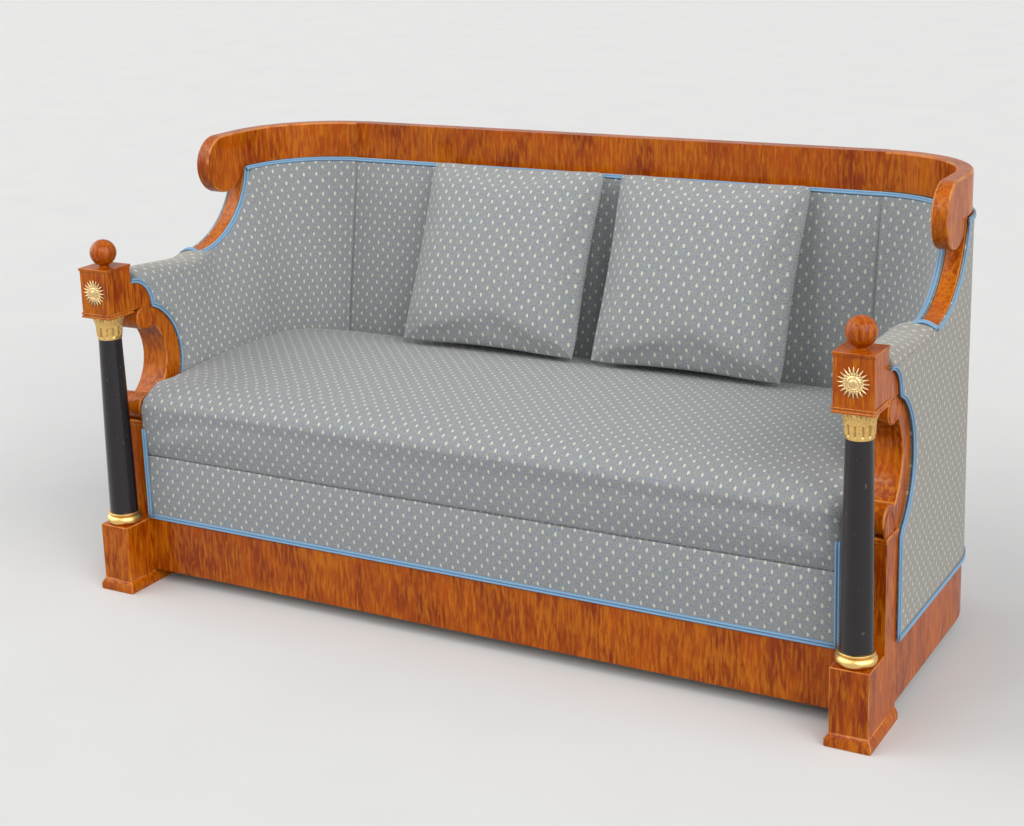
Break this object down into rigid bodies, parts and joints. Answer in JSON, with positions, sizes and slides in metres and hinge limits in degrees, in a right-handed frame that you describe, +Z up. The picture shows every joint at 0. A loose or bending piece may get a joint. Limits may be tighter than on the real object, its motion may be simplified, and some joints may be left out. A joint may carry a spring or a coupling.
{
  "type": "biedermeier sofa",
  "caption": "Upholstered sofa with a veneered frame: rounded back under a crest rail with volutes, columned arms with C-scrolls and gilt fittings, sprung seat and loose back cushions.",
  "frame": {"origin": "middle of the footprint box, on the floor", "axes": "+X along the seat to the viewer's right, -Y the front, +Z up"},
  "size_m": [1.81, 0.81, 0.97],
  "materials": {
    "veneer": "orange-brown veneer, satin polish",
    "ebonised": "black, satin polish",
    "gilt": "aged gilding",
    "cover": "blue-grey woven cloth with small cream dots",
    "frame_wood": "sawn beech",
    "spring_steel": "drawn wire",
    "jute": "plain woven jute"
  },
  "bodies": {
    "sofa": {"abacus_left": "veneer", "abacus_right": "veneer", "arm_block_left": "veneer", "arm_block_right": "veneer", "arm_rails": "frame_wood", "arm_top_left": "cover", "arm_top_right": "cover", "back_pad": "cover", "back_rail": "veneer", "ball_finial_left": "veneer", "ball_finial_right": "veneer", "c_scroll_left": "veneer", "c_scroll_right": "veneer", "cap_plate_left": "veneer", "cap_plate_right": "veneer", "column_capital_left": "gilt", "column_capital_right": "gilt", "column_ring_left": "gilt", "column_ring_right": "gilt", "column_shaft_left": "ebonised", "column_shaft_right": "ebonised", "corner_post_left": "veneer", "corner_post_right": "veneer", "corner_rail_left": "veneer", "corner_rail_right": "veneer", "crest_end_left": "veneer", "crest_end_right": "veneer", "crest_rail_back": "veneer", "dust_cover": "jute", "foot_moulding_left": "veneer", "foot_moulding_right": "veneer", "frame_dowels": "frame_wood", "frame_uprights": "frame_wood", "front_rail": "veneer", "glue_blocks": "frame_wood", "outer_back_cover": "cover", "outer_side_cover_left": "cover", "outer_side_cover_right": "cover", "plinth_block_left": "veneer", "plinth_block_right": "veneer", "post_ledge_left": "veneer", "post_ledge_right": "veneer", "rear_feet": "veneer", "seat_border": "cover", "seat_cross_rails": "frame_wood", "seat_pad": "cover", "seat_springs": "spring_steel", "seat_webbing": "jute", "side_pad_left": "cover", "side_pad_right": "cover", "side_rail_left": "veneer", "side_rail_right": "veneer", "spring_hessian": "jute", "sun_rosette_left": "gilt", "sun_rosette_right": "gilt", "tacking_rails": "frame_wood", "wing_board_left": "veneer", "wing_board_right": "veneer"},
    "cushion_left": {"loose_cushion_left": "cover"},
    "cushion_right": {"loose_cushion_right": "cover"}
  },
  "joints": [
    {"name": "cushion_left_lift", "type": "slide", "parent": "sofa", "child": "cushion_left", "axis": [0, -0.5, 0.866], "range_m": [0, 0.4]},
    {"name": "cushion_right_lift", "type": "slide", "parent": "sofa", "child": "cushion_right", "axis": [0, -0.5, 0.866], "range_m": [0, 0.4]}
  ]
}
